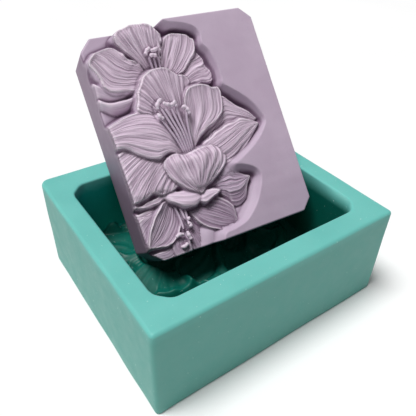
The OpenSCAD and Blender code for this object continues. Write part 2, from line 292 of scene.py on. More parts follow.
ANTHERS = [sighted(route) for route in (
    [(17.9, 51.4, 0.1), (18.3, 53.2, -0.3), (19.8, 54.6, -0.4), (20.4, 54.8, -0.2)],
    [(20.3, 53.4, -0.3), (21.8, 52.6, -0.5), (23, 52.2, -0.4), (24.2, 52.3, -0.5), (25.3, 53.3, -0.4)],
    [(24.6, 52, -0.2), (25.2, 51.2, -0.1)],
    [(17.2, 50.2, 0.5), (17.9, 48.8, 0.4), (19, 47.8, 0.6)],
    [(26.8, 50.2, 0.6), (28, 50.4, 0.3), (28.9, 49.2, 0.3), (29.1, 47.4, 0.7)],
    [(19.8, 71.2, 3), (20.8, 72.6, 2.6), (22.4, 73.8, 2.5)],
    [(22.2, 72.6, 2.5), (23.6, 72.6, 2.3), (25.2, 73.2, 2.6)],
    [(21.2, 70.6, 2.8), (22.6, 70.9, 2.6), (24, 70.2, 2.9)],
    [(9.4, 6.6, 3.8), (10.8, 7.2, 3.6), (12.6, 6.9, 3.6)],
    [(10, 3, 3.9), (11.6, 2.8, 3.7), (13, 3.6, 3.8)],
    [(14, 7.6, 3.7), (14.2, 5.8, 3.5), (14.6, 4.2, 3.7)],
    [(15, 10.2, 3.7), (16, 9.6, 3.6), (15.6, 8.2, 3.7)],
    [(15.4, 12, 4), (16.6, 11.2, 3.9)],
)]
ANTHER_RADIUS = 0.72


# ---- curves and patches
def smooth_curve(points, count):
    """count points, evenly spaced by length, on a smooth curve through the given points."""
    p = np.array(points, float)
    if len(p) > 2:
        ends = np.vstack([2 * p[0] - p[1], p, 2 * p[-1] - p[-2]])
        t = np.linspace(0, 1, 24, endpoint=False)[:, None]
        p = np.vstack([
            b + 0.5 * t * (c - a + t * (2 * a - 5 * b + 4 * c - d + t * (3 * (b - c) + d - a)))
            for a, b, c, d in zip(ends[:-3], ends[1:-2], ends[2:-1], ends[3:])
        ] + [p[-1:]])
    run = np.concatenate([[0], np.cumsum(np.linalg.norm(np.diff(p, axis=0), axis=1))])
    if run[-1] == 0:
        return np.repeat(p[:1], count, axis=0)
    at = np.linspace(0, run[-1], count)
    return np.stack([np.interp(at, run, p[:, k]) for k in range(p.shape[1])], axis=1)


def unit(x):
    return np.clip(x, 0, 1)


def smoothstep(low, high, x):
    x = unit((x - low) / (high - low))
    return x * x * (3 - 2 * x)


def petal_points(spec, seed):
    """The petal's surface as a grid of points, from root to tip and from left to right, each point's
    place on the petal in mm, and how strong its veins are."""
    rng = np.random.default_rng(seed)
    t, s = np.linspace(0, 1, PETAL_ALONG)[:, None], np.linspace(0, 1, PETAL_ACROSS)[None]
    left = smooth_curve(spec["left"], PETAL_ALONG)
    right = smooth_curve(spec["right"], PETAL_ALONG)
    root = smooth_curve([spec["left"][0], spec["right"][0]], PETAL_ACROSS)
    end = smooth_curve([spec["left"][-1], *spec["end"], spec["right"][-1]], PETAL_ACROSS)
    a, b = t[..., None], s[..., None]
    points = (
        (1 - a) * root[None] + a * end[None] + (1 - b) * left[:, None] + b * right[:, None]
        - (1 - a) * ((1 - b) * root[0] + b * root[-1]) - a * ((1 - b) * end[0] + b * end[-1])
    )
    chord = np.linalg.norm(np.diff(points, axis=1), axis=2).sum(axis=1)[:, None]
    length = np.linalg.norm(np.diff(points[:, PETAL_ACROSS // 2], axis=0), axis=1).sum()
    side = np.abs(2 * s - 1)
    from_edge = np.minimum(s, 1 - s) * chord
    body = (chord / chord.max()) ** 0.8 * smoothstep(0, 0.25, t)
    if len(spec["end"]):
        from_edge = np.minimum(from_edge, (1 - t) * length)
        body = body * (1 - 0.9 * smoothstep(0.78, 1, t) ** 2)
    skewed = s ** (math.log(0.5) / math.log(spec["peak"]))
    arch = 1 - np.abs(2 * skewed - 1) ** 2.2
    rise = spec["crown"] * arch * body
    drift = 0.12 * np.sin(math.tau * (s + rng.random())) + 0.1 * np.sin(math.tau * (0.7 * t + rng.random()))
    fold_height, fold_count = spec["folds"]
    waves = np.sin(math.tau * (fold_count * (s + drift) + rng.random()))
    waves = waves * (1 - side ** 4) * smoothstep(0.05, 0.4, t) * (1 - 0.7 * smoothstep(0.8, 1, t))
    rise += 0.5 * fold_height * waves
    rise += spec["lip"] * np.exp(-((from_edge / 0.6) ** 2)) * smoothstep(0.1, 0.35, t)
    rise -= EDGE_ROLL * (1 - smoothstep(0, 0.35, from_edge))
    near_edge = np.exp(-((from_edge / 2) ** 2)) * smoothstep(0.1, 0.3, t)
    for wave in (0.08, 0.14):
        turn = math.tau * wave * (t * length + s * chord)
        rise += spec["ruffle"] * np.sin(turn + rng.random() * 6) * near_edge
        for axis, pace in enumerate((1.3, 1.2)):
            points[..., axis] += spec["ruffle"] * np.sin(pace * turn + rng.random() * 6) * near_edge
    vein_count, groove = spec["veins"]
    if vein_count:
        sway = 0.03 * np.sin(math.tau * (0.9 * t + rng.random())) * np.sin(math.pi * s)
        fade = smoothstep(0, 0.12, t) * (1 - smoothstep(0.92, 1, t)) * (1 - smoothstep(0.93, 1, side))
        for more, share, blunt in ((1.1, 0.62, 0.5), (2.6, 0.38, 0.7)):
            # Ridges of uneven width with a sharp groove between each two.
            count = int(vein_count * more) + 2
            gaps = rng.uniform(0.45, 1.55, count)
            grooves = np.concatenate([[0], np.cumsum(gaps)]) / gaps.sum()
            at = np.interp(unit(s + sway), grooves, np.arange(count + 1))
            swell = np.interp(at, np.arange(count) + 0.5, rng.uniform(0.3, 1.0, count))
            swell = swell * (0.8 + 0.2 * np.sin(math.tau * (1.3 * t + 2.1 * s + rng.random())))
            ridge = np.abs(np.sin(math.pi * at)) ** blunt - 1
            rise += VEIN_DEPTH * groove * share * swell * ridge * fade
    points[..., 2] += rise
    wide = float(np.median(chord))
    marks = np.stack([s * wide + 0 * t, t * length + 0 * s, 0 * s + 0 * t + 7.0 * seed], axis=-1)
    return points, marks, min(1.0, groove / 0.3) * (vein_count > 0)


def tube_points(route, radius, sides=13, along=22):
    """A round-ended, slightly knobbly tube along a route, as a grid of points round it."""
    line = smooth_curve(route, along)
    x = np.linspace(-1, 1, along)
    length = np.linalg.norm(np.diff(line, axis=0), axis=1).sum()
    blunt = max(2.0, length / radius)
    knobs = 1 + 0.14 * np.sin(x * length * 1.9 + 3 * line[0, 0]) * (radius > FILAMENT_RADIUS)
    size = radius * knobs * np.sqrt(np.clip(1 - np.abs(x) ** blunt, 0.003, 1))
    ahead = np.gradient(line, axis=0)
    ahead /= np.linalg.norm(ahead, axis=1)[:, None]
    across = np.cross(ahead, (0, 0, 1))
    across /= np.linalg.norm(across, axis=1)[:, None]
    up = np.cross(across, ahead)
    turn = np.linspace(0, math.tau, sides)
    ring = across[:, None] * np.cos(turn)[None, :, None] + up[:, None] * np.sin(turn)[None, :, None]
    return line[:, None] + size[:, None, None] * ring


def grid_quads(rows, columns, first=0):
    """Faces of a grid of points, seen from above when rows go up and columns go right."""
    r, c = np.mgrid[0:rows - 1, 0:columns - 1]
    a = (first + r * columns + c).ravel()
    return np.stack([a, a + 1, a + columns + 1, a + columns], axis=1)


def joined(grids):
    """Grids of points as one set of points and faces."""
    points, faces, first = [], [], 0
    for grid in grids:
        points.append(grid.reshape(-1, 3))
        faces.append(grid_quads(grid.shape[0], grid.shape[1], first))
        first += len(points[-1])
    return np.vstack(points), np.vstack(faces)


def stamen_tubes():
    """The filaments, then the anthers."""
    return [tube_points(r, FILAMENT_RADIUS) for r in FILAMENTS] + [tube_points(r, ANTHER_RADIUS) for r in ANTHERS]


# ---- height of the relief
def ground_height(u, v):
    """Height of the ground at each point: 0 on the flat face, and down a cove beside the lilies."""
    edge = smooth_curve([(*askew(eu, ev), depth, width) for eu, ev, depth, width in GROUND_EDGE], EDGE_POINTS)
    best = np.full(u.shape, np.inf)
    near = np.zeros(u.shape, int)
    for k, (eu, ev) in enumerate(edge[:, :2]):
        away = (u - eu) ** 2 + (v - ev) ** 2
        closer = away < best
        best[closer] = away[closer]
        near[closer] = k
    ahead = np.gradient(edge[:, :2], axis=0)[near]
    to_u, to_v = u - edge[near, 0], v - edge[near, 1]
    inward = ahead[..., 0] * to_v - ahead[..., 1] * to_u
    away = np.sqrt(best)
    for step in (-1, 1):
        # Distance to the two pieces of the edge that meet at the nearest point.
        other = np.clip(near + step, 0, len(edge) - 1)
        run = edge[other, :2] - edge[near, :2]
        length = np.maximum((run ** 2).sum(axis=-1), 1e-9)
        share = unit((to_u * run[..., 0] + to_v * run[..., 1]) / length)
        away = np.minimum(away, np.hypot(to_u - share * run[..., 0], to_v - share * run[..., 1]))
    depth, width = edge[near, 2], edge[near, 3]
    # Deeper ground further from the edge, where the edge itself is shallow.
    settle = smoothstep(4, 14, away)
    depth = depth * (1 - settle) + GROUND_DEPTH * settle
    share = unit(away / (COVE_WIDTH * width))
    cove = 1.2 * share - 0.2 * share ** 3
    return np.where(inward > 0, -depth * cove, 0)


def bed_height(u, v):
    """Height of the highest bed at each point."""
    height = np.full(u.shape, NOTHING)
    for (cu, cv), (hu, hv), top in BEDS:
        out = np.sqrt(((u - cu) / hu) ** 2 + ((v - cv) / hv) ** 2)
        height = np.maximum(height, top - 6 * smoothstep(0.7, 1.05, out))
    return height


class Relief:
    """Height of the lily face over points on the bar, in mm above the flat face."""

    def __init__(self):
        petals = [p for lily in (TOP_LILY, MIDDLE_LILY, LOWER_LILY) for p in lily.values()]
        built = [petal_points(spec, 11 + seed) for seed, spec in enumerate(petals)]
        self.points, self.faces = joined([grid for grid, _, _ in built])
        self.marks = np.vstack([mark.reshape(-1, 3) for _, mark, _ in built])
        each = (PETAL_ALONG - 1) * (PETAL_ACROSS - 1)
        self.tone = np.repeat([spec["tone"] for spec in petals], each)
        self.veined = np.repeat([vein for _, _, vein in built], each)
        self.tree = BVHTree.FromPolygons(self.points.tolist(), self.faces.tolist())
        points, faces = joined(stamen_tubes())
        self.stamens = BVHTree.FromPolygons(points.tolist(), faces.tolist())

    def cast(self, tree, u, v):
        """Height of the highest surface at each point, and its face."""
        down = Vector((0, 0, -1))
        height = np.full(u.size, NOTHING)
        owner = np.full(u.size, -1)
        for k, (pu, pv) in enumerate(zip(u.ravel().tolist(), v.ravel().tolist())):
            hit, _, face, _ = tree.ray_cast(Vector((pu, pv, ABOVE_ALL)), down)
            if hit is not None:
                height[k] = hit.z
                owner[k] = face
        return height.reshape(u.shape), owner

    def height(self, u, v):
        """Height of the petals and the ground, each an average over its own cell."""
        step_u = (u[:, -1:] - u[:, :1]) / (u.shape[1] - 1)
        step_v = v[1, 0] - v[0, 0]
        total = 0
        for du, dv in CELL_SPOTS:
            pu, pv = u + du * step_u, v + dv * step_v
            found, owner = self.cast(self.tree, pu, pv)
            ground = np.maximum(ground_height(pu, pv), -GROUND_DEPTH)
            under = np.maximum(ground, np.where(ground < SHALLOW, bed_height(pu, pv), NOTHING))
            total = total + np.maximum(found, under)
        self.mark(pu.ravel(), pv.ravel(), owner, found >= under)
        return smooth_walls(soften(undercut(limit_slope(total / 4, step_v), step_v)), step_v)

    def with_stamens(self, height, u, v):
        return np.maximum(height, self.cast(self.stamens, u, v)[0])

    def mark(self, u, v, owner, shown):
        """Where each point lies on its petal, in mm across and along it, and whether it is veined."""
        def cross(p, q):
            return (p[:, 0] * q[:, 1] - p[:, 1] * q[:, 0])[:, None]

        corners = self.faces[owner].T[[0, 1, 3]]
        a, b, d = self.points[corners, :2]
        ma, mb, md = self.marks[corners]
        right, up, away = b - a, d - a, np.stack([u, v], axis=1) - a
        area = cross(right, up)
        area = np.where(np.abs(area) < 1e-6, 1e-6, area)
        x, y = unit(cross(away, up) / area), unit(cross(right, away) / area)
        on_petal = (owner >= 0) & shown.ravel()
        self.on_petal = on_petal.astype(float)
        self.petal_tone = np.where(on_petal, self.tone[owner], 0)
        self.petal_place = np.where(on_petal[:, None], ma + x * (mb - ma) + y * (md - ma), 0)
        self.petal_veined = np.where(on_petal, self.veined[owner], 0)


def blur(values, reach):
    """A box blur of a grid, twice over."""
    for _ in range(2):
        for axis in (0, 1):
            pad = [(reach + 1, reach) if k == axis else (0, 0) for k in (0, 1)]
            total = np.cumsum(np.pad(values, pad, mode="edge"), axis=axis)
            high = np.take(total, range(2 * reach + 1, total.shape[axis]), axis=axis)
            low = np.take(total, range(0, total.shape[axis] - 2 * reach - 1), axis=axis)
            values = (high - low) / (2 * reach + 1)
    return values


def over(height, step, reach):
    """How far the mean height within reach of each point, in mm, is above it."""
    return blur(height, round(reach / step)) - height


def beside(height, axis):
    """The heights one step back and one step on along an axis."""
    padded = np.pad(height, [(1, 1) if k == axis else (0, 0) for k in (0, 1)], mode="edge")
    return (padded[:-2], padded[2:]) if axis == 0 else (padded[:, :-2], padded[:, 2:])


def limit_slope(height, step, steepest=3.2):
    """Fills the foot of every wall, so that none is steeper than a cast wall can be."""
    for _ in range(8):
        for axis in (0, 1):
            height = np.maximum(height, np.maximum(*beside(height, axis)) - steepest * step)
    return height


def undercut(height, step):
    """Deepens the gaps beside raised edges and lifts the edges a little, as overlapping petals are."""
    near, wide = over(height, step, 0.5), over(height, step, 1.6)
    gap = np.clip(near - 0.12, 0, 1.4) + 0.4 * np.clip(wide - 0.5, 0, 2)
    return height - 0.4 * gap + 0.15 * np.clip(-near - 0.1, 0, 0.8)


def smooth_walls(height, step):
    """Evens out the steep walls, where the steps of the grid would show."""
    for _ in range(2):
        slope = np.hypot(*np.gradient(height, step))
        height = height + smoothstep(0.9, 2.2, blur(slope, 1)) * (blur(height, 1) - height)
    return height


def soften(height):
    """Rounds the steps a little, as a cast edge is."""
    for axis in (0, 1):
        height = 0.56 * height + 0.22 * sum(beside(height, axis))
    return height


def hollows(height, step, on_petal):
    """How deep in a gap each point lies, from 0 on open ground to 1 deep in a gap, as painted shade."""
    fine = unit(over(height, step, 0.5) / 0.22)
    wide = unit(over(height, step, 2) / 2)
    broad = unit((over(height, step, 4.5) - 0.6) / 3.5)
    return unit(0.5 * fine + (0.5 - 0.22 * on_petal) * wide + 0.32 * broad * (1 - on_petal))


def crests(height, step):
    """How much each point stands out of what is round it, from 0 to 1, as a painted highlight."""
    return unit((-over(height, step, 0.6) - 0.04) / 0.3)


# ---- the castings, from the frame
def mesh_arrays(node):
    """Points and triangle corners of a CAD node, in mm."""
    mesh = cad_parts[node].data
    mesh.calc_loop_triangles()
    points = np.empty(len(mesh.vertices) * 3)
    mesh.vertices.foreach_get("co", points)
    corners = np.empty(len(mesh.loop_triangles) * 3, dtype=np.int32)
    mesh.loop_triangles.foreach_get("vertices", corners)
    return points.reshape(-1, 3) / MM, corners.reshape(-1, 3)


class Bar:
    """Where the bar lies: its size, and the directions across it (u), up it (v) and out of its face (n)."""

    def __init__(self):
        points, corners = mesh_arrays("soap_bar")
        a, b, c = (points[corners[:, k]] for k in range(3))
        normals = np.cross(b - a, c - a)
        areas = np.linalg.norm(normals, axis=1)
        units = normals / np.maximum(areas, 1e-9)[:, None]
        # The back is the plane with the most area behind everything else.
        spread = points @ units.T
        is_back = (spread.max(axis=0) - np.einsum("ij,ij->i", a, units) < 0.02) & (areas > 1e-6)
        units, areas = units[is_back], areas[is_back]
        owner = np.unique(np.round(units, 2), axis=0, return_inverse=True)[1].ravel()
        chosen = owner == np.bincount(owner, weights=areas).argmax()
        out = -(units[chosen] * areas[chosen, None]).sum(axis=0)
        self.n = out / np.linalg.norm(out)
        level = np.cross((0, 0, 1), self.n)
        level /= np.linalg.norm(level)
        rising = np.cross(self.n, level)

        def turned(angle):
            return math.cos(angle) * level + math.sin(angle) * rising

        def area(angle):
            return np.ptp(points @ turned(angle)) * np.ptp(points @ np.cross(self.n, turned(angle)))

        # The bar is turned a little in its own plane: its sides are where its outline is smallest.
        self.u = turned(min(np.radians(np.arange(-6, 6.001, 0.02)), key=area))
        self.v = np.cross(self.n, self.u)
        across, up, deep = (points @ axis for axis in (self.u, self.v, self.n))
        self.width, self.length = np.ptp(across), np.ptp(up)
        # The flat face is what lies at the right-hand edge of the bar.
        right = deep[across > across.max() - 0.05]
        self.thickness = right.max() - deep.min()
        self.corner = across.min() * self.u + up.min() * self.v + deep.min() * self.n

    def place(self, u, v, n):
        """Points u, v along the bar and n above its back, in the row frame."""
        return self.corner + u[..., None] * self.u + v[..., None] * self.v + n[..., None] * self.n


def corner_inset(v, length, softness):
    """How far each row of the casting is drawn in at the cut and softened corners."""
    reach = softness * math.tan(math.pi / 8)
    turn = np.linspace(0, math.pi / 4, 9)
    lower = np.stack([CORNER_CUT + reach - softness * np.sin(turn), softness * (1 - np.cos(turn))], axis=1)
    line = np.vstack([lower, lower[::-1, ::-1]])
    return np.interp(np.minimum(v, length - v), line[:, 1], line[:, 0], right=0)


def casting_grid(step, width, length, softness):
    """u and v over the casting's outline, as a grid whose edge is the outline."""
    v = np.linspace(0, length, round(length / step) + 1)[:, None]
    inset = corner_inset(v, length, softness)
    share = np.linspace(0, 1, round(width / step) + 1)
    u = inset + share * (width - 2 * inset)
    return u, np.repeat(v, len(share), axis=1)


def border_of(rows, columns):
    """Numbers of a grid's edge points, once round, anticlockwise from above."""
    grid = np.arange(rows * columns).reshape(rows, columns)
    return np.concatenate([grid[0, :-1], grid[:-1, -1], grid[-1, :0:-1], grid[:0:-1, 0]])


def ring_quads(first, second):
    """Faces between two rings of points that run the same way."""
    return np.stack([first, second, np.roll(second, -1), np.roll(first, -1)], axis=1)


class Shell:
    """The points and faces of a casting, which grows from a grid by one ring of points after another."""

    def __init__(self, grid):
        self.points, self.quads = [grid.reshape(-1, 3)], [grid_quads(*grid.shape[:2])]
        self.count = len(self.points[0])
        self.last = border_of(*grid.shape[:2])

    def add(self, ring):
        """Adds a ring of points round the last one."""
        numbers = self.count + np.arange(len(ring))
        self.points.append(ring)
        self.quads.append(ring_quads(self.last, numbers))
        self.count += len(ring)
        self.last = numbers

    def add_tube(self, grid):
        """Adds rings of points that form a tube of their own, and gives the faces that close it."""
        rows, sides = grid.shape[:2]
        numbers = self.count + np.arange(rows * sides).reshape(rows, sides)
        self.points.append(grid.reshape(-1, 3))
        self.quads += [ring_quads(low, high)[:, ::-1] for low, high in zip(numbers[:-1], numbers[1:])]
        self.count += rows * sides
        return [numbers[0], numbers[-1][::-1]]


def build_mesh(name, points, quads, caps, material):
    """One closed mesh in the row frame, from points in mm."""
    quads = np.vstack(quads)
    mesh = bpy.data.meshes.new(name)
    mesh.from_pydata((points * MM).tolist(), [], quads.tolist() + [c.tolist() for c in caps])
    a, b, c = (points[quads[:, k]] for k in (0, 1, 2))
    if np.einsum("ij,ij->", a - points.mean(axis=0), np.cross(b - a, c - a)) < 0:
        mesh.flip_normals()
    mesh.validate()
    mesh.polygons.foreach_set("use_smooth", [True] * len(mesh.polygons))
    mesh.update()
    piece = bpy.data.objects.new(name, mesh)
    bpy.context.scene.collection.objects.link(piece)
    piece.data.materials.append(material)
    return piece


def waver(points, scale, seed):
    """A smooth, uneven value from -1 to 1 at each point."""
    rng = np.random.default_rng(seed)
    total = 0
    for k in range(7):
        direction = rng.normal(size=3)
        direction /= np.linalg.norm(direction)
        along = points @ direction * (math.tau / scale)
        total = total + np.sin(along * (0.6 + 0.25 * k) + rng.random() * 6.3)
    return total / 7 * 1.6


def store(piece, name, values):
    """Stores a value at each point of a piece, for its material."""
    kind = "FLOAT" if values.ndim == 1 else "FLOAT_VECTOR"
    layer = piece.data.attributes.new(name, kind, "POINT")
    layer.data.foreach_set("value" if values.ndim == 1 else "vector", values.astype(np.float32).ravel())


# ---- soap bar
FACE_EDGE = 0.7  # radius round the edge of the lily face
BACK_EDGE = 0.9  # radius round the poured back
SIDE_LEVELS = (0.8, 0.45, 0.15)  # rings round the bar's sides, as shares of its thickness
LOW_LILY_SHADE = 0.3  # how much painted shade darkens the lowest lily, which lies in shade near the mould
# Painted highlight on the stamens, strong on the anthers.
FILAMENT_HIGHLIGHT, ANTHER_HIGHLIGHT = 0.15, 0.75


def outline_distance(u, v, width, length):
    """Distance from each point in to the casting's outline."""
    side_u, side_v = np.minimum(u, width - u), np.minimum(v, length - v)
    return np.minimum(np.minimum(side_u, side_v), (side_u + side_v - CORNER_CUT) / math.sqrt(2))


def round_over(distance, radius):
    """How far a surface drops near an edge that is rounded to a radius."""
    x = unit(1 - distance / radius)
    return radius * (1 - np.sqrt(unit(1 - x * x)))


def make_bar(bar, relief, material):
    """The bar: its lily face, its sides and back, and the stamens as tubes of their own."""
    u, v = casting_grid(BAR_STEP, bar.width, bar.length, CORNER_SOFT)
    height = relief.height(u, v)
    height -= round_over(outline_distance(u, v, bar.width, bar.length), FACE_EDGE)
    flat = np.stack([u, v, height * 3], axis=-1).reshape(-1, 3)
    height += 0.05 * waver(flat, 9, 3).reshape(u.shape) - 0.05
    on_petal = relief.on_petal.reshape(u.shape)
    # Painted shade on the lowest lily, which lies in shade near the mould.
    low_lily_shade = LOW_LILY_SHADE * (1 - smoothstep(8, 24, v)) * smoothstep(8, 22, u)
    # Painted shade in gaps and beside raised edges.
    painted_shade = hollows(relief.with_stamens(height, u, v), BAR_STEP, on_petal)
    painted_shade = unit(painted_shade + low_lily_shade * on_petal)
    shell = Shell(bar.place(u, v, bar.thickness + height))
    border = shell.last
    out_u, out_v = u.ravel()[border] - bar.width / 2, v.ravel()[border] - bar.length / 2
    bn = bar.thickness + height.ravel()[border]
    rings = [(0, bn * share) for share in SIDE_LEVELS]
    for turn in np.linspace(0, math.pi / 2, 4):
        rings.append((BACK_EDGE * (1 - math.cos(turn)), np.full_like(bn, BACK_EDGE * (1 - math.sin(turn)))))
    for inset, level in rings:
        ring_u = bar.width / 2 + out_u * (1 - inset / (bar.width / 2))
        ring_v = bar.length / 2 + out_v * (1 - inset / (bar.length / 2))
        shell.add(bar.place(ring_u, ring_v, level))
    casting, caps = shell.count, [shell.last[::-1]]
    # Painted highlight on the stamens, weaker on the filaments, which lie in the throat's shade.
    pale = []
    for number, grid in enumerate(stamen_tubes()):
        tube = grid[:, :-1]
        stamen_highlight = FILAMENT_HIGHLIGHT if number < len(FILAMENTS) else ANTHER_HIGHLIGHT
        pale.append(np.full(tube[..., 0].size, stamen_highlight))
        caps += shell.add_tube(bar.place(tube[..., 0], tube[..., 1], bar.thickness + tube[..., 2]))
    piece = build_mesh("soap_bar_casting", np.vstack(shell.points), shell.quads, caps, material)
    rest = shell.count - painted_shade.size
    # Painted highlight on the petals' ridges, then on the stamens.
    crest_highlight = np.pad(crests(height, BAR_STEP).ravel() * relief.on_petal, (0, rest))
    crest_highlight[casting:] = np.concatenate(pale)
    # Painted shade on the bar's sides.
    side = np.zeros(shell.count)
    side[painted_shade.size:casting] = 1
    for name, values in (
        ("painted_shade", np.pad(painted_shade.ravel(), (0, rest))), ("crest_highlight", crest_highlight), ("side", side),
        ("veined", np.pad(relief.petal_veined, (0, rest))), ("petal_paleness_and_shade", np.pad(relief.petal_tone, (0, rest))),
        ("petal", np.pad(relief.petal_place, ((0, rest), (0, 0)))),
    ):
        store(piece, name, values)
    return piece


# ---- silicone mould
INNER_EDGE = 0.8  # radius round the cavity's rim
OUTER_EDGE = 1.3  # radius round the block's top
BASE_EDGE = 0.5  # radius round its base
OUTER_SOFTNESS = (1.4, 3.8, 1.5, 1.6)  # corner radii, anticlockwise from the far right one
WALL_LEVELS = (0.06, 0.2, 0.4, 0.6, 0.8, 1)  # rings up the cavity's wall, as shares of its height
RIM_SHARES = (0.15, 0.4, 0.65, 0.9, 1)  # rings across the rim, as shares of its width
NEAR_SIDE = 0.96  # share of the way out from the centre where the outer faces begin


class Block:
    """Size of the silicone block and of its cavity."""

    def __init__(self):
        low, high = (np.array(corner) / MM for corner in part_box("silicone_mould"))
        self.half_x, self.half_y, self.top = high
        points, _ = mesh_arrays("silicone_mould")
        margin = 3
        inside = np.all((points[:, :2] > low[:2] + margin) & (points[:, :2] < high[:2] - margin), axis=1)
        cavity = points[inside & (points[:, 2] > margin)]
        self.far_y, self.end_x = cavity[:, 1].max(), cavity[:, 0].max()
        near = cavity[(cavity[:, 1] < cavity[:, 1].min() + 0.05) & (cavity[:, 2] < self.top - 1)]
        self.floor = np.median(near[:, 2]) if len(near) else cavity[:, 2].min()


def outer_radius(angle, block, inset):
    """Distance from the block's centre to its rounded outline, at each angle."""
    x, y = block.half_x - inset, block.half_y - inset
    line = []
    corners = ((1, 1, 0), (-1, 1, 90), (-1, -1, 180), (1, -1, 270))
    for (side_x, side_y, start), softness in zip(corners, OUTER_SOFTNESS):
        r = max(softness - inset, 0.25)
        for turn in np.radians(np.linspace(start, start + 90, 16)):
            line.append((side_x * (x - r) + r * math.cos(turn), side_y * (y - r) + r * math.sin(turn)))
    dense = []
    for a, b in zip(np.array(line), np.roll(line, -1, axis=0)):
        count = max(2, int(math.dist(a, b) / 0.4))
        dense.append(a + (b - a) * np.arange(count)[:, None] / count)
    dense = np.vstack(dense)
    angles = np.arctan2(dense[:, 1], dense[:, 0])
    order = np.argsort(angles)
    return np.interp(angle, angles[order], np.hypot(dense[order, 0], dense[order, 1]), period=math.tau)


def make_mould(bar, block, relief, material):
    """The mould: the lily face turned over as the cavity's floor, then the walls, rim and outer faces."""
    u, v = casting_grid(FLOOR_STEP, bar.width, bar.length, CAVITY_SOFT)
    height = blur(relief.with_stamens(relief.height(u, v), u, v), 1)
    # Turned over, the face's length runs back along X and its width back along Y.
    shell = Shell(np.stack([block.end_x - v, block.far_y - u, block.floor - height], axis=-1))
    on_floor = shell.count
    border = shell.points[0][shell.last]
    wall, bz = border[:, :2], border[:, 2]
    ahead = np.roll(wall, -1, axis=0) - np.roll(wall, 1, axis=0)
    # Outwards is to the right of the way the border runs, or else to its left.
    out = np.stack([ahead[:, 1], -ahead[:, 0]], axis=1) / np.linalg.norm(ahead, axis=1)[:, None]
    if np.sum(out * (wall - (0, wall[:, 1].mean()))) < 0:
        out = -out
    angle = np.arctan2(wall[:, 1], wall[:, 0])

    def add(place, level):
        shell.add(np.column_stack([place, np.broadcast_to(level, len(place))]))

    def outer(inset):
        """A ring on the block's outline, drawn in by inset."""
        return outer_radius(angle, block, inset)[:, None] * np.stack([np.cos(angle), np.sin(angle)], axis=1)

    rim_start, wall_top = block.top - INNER_EDGE, block.top - OUTER_EDGE
    for share in WALL_LEVELS:
        add(wall, bz + (rim_start - bz) * share)
    in_cavity = shell.count
    for turn in np.linspace(0, math.pi / 2, 6)[1:]:
        add(wall + out * (INNER_EDGE * (1 - math.cos(turn))), rim_start + INNER_EDGE * math.sin(turn))
    inner, edge = shell.points[-1][:, :2], outer(OUTER_EDGE)
    for share in RIM_SHARES:
        add(inner + (edge - inner) * share, block.top)
    for turn in np.linspace(0, math.pi / 2, 7)[1:]:
        add(outer(OUTER_EDGE * (1 - math.sin(turn))), block.top - OUTER_EDGE * (1 - math.cos(turn)))
    for share in np.linspace(0, 1, 14)[1:]:
        add(outer(0), wall_top + (BASE_EDGE - wall_top) * share)
    for turn in np.linspace(0, math.pi / 2, 4)[1:]:
        add(outer(BASE_EDGE * (1 - math.cos(turn))), BASE_EDGE * (1 - math.sin(turn)))
    every = np.vstack(shell.points)
    inside = np.arange(len(every)) < in_cavity
    # Poured and trimmed by hand: the outer faces and the rim are never quite true.
    sag = unit(0.5 + 0.5 * waver(every, 34, 8))
    shares = np.abs(every[:, :2]) / (block.half_x, block.half_y)
    pull = 0.22 * sag * ~inside * smoothstep(NEAR_SIDE, 1, shares.max(axis=1))
    every[:, :2] -= np.sign(every[:, :2]) * pull[:, None] * (shares > NEAR_SIDE)
    on_rim = smoothstep(block.top - 6, block.top, every[:, 2]) * ~inside
    every[:, 2] -= 0.3 * unit(0.5 + 0.5 * waver(every, 47, 5)) * on_rim
    piece = build_mesh("silicone_mould_casting", every, shell.quads, [shell.last[::-1]], material)
    # Painted light on the cavity's far wall, standing in for light through the silicone wall.
    painted_far_wall_light = np.zeros(len(every))
    painted_far_wall_light[on_floor:in_cavity] = np.tile(unit(out[:, 1]), len(WALL_LEVELS))
    # Painted shade: the cavity darker the deeper it goes.
    store(piece, "painted_shade", np.where(inside, unit((block.top - every[:, 2]) / 5), 0))
    store(piece, "painted_far_wall_light", painted_far_wall_light)
    # Painted shade on the outer faces below the rim.
    store(piece, "wall", np.where(inside, 0, 1 - smoothstep(block.top - 2, block.top - 0.4, every[:, 2])))
    return piece


# ---- materials
def linear(colour):
    """A display colour, 0 to 255, as the shader's linear colour."""
    parts = [c / 255 for c in colour]
    return (*[c / 12.92 if c <= 0.04045 else ((c + 0.055) / 1.055) ** 2.4 for c in parts], 1)


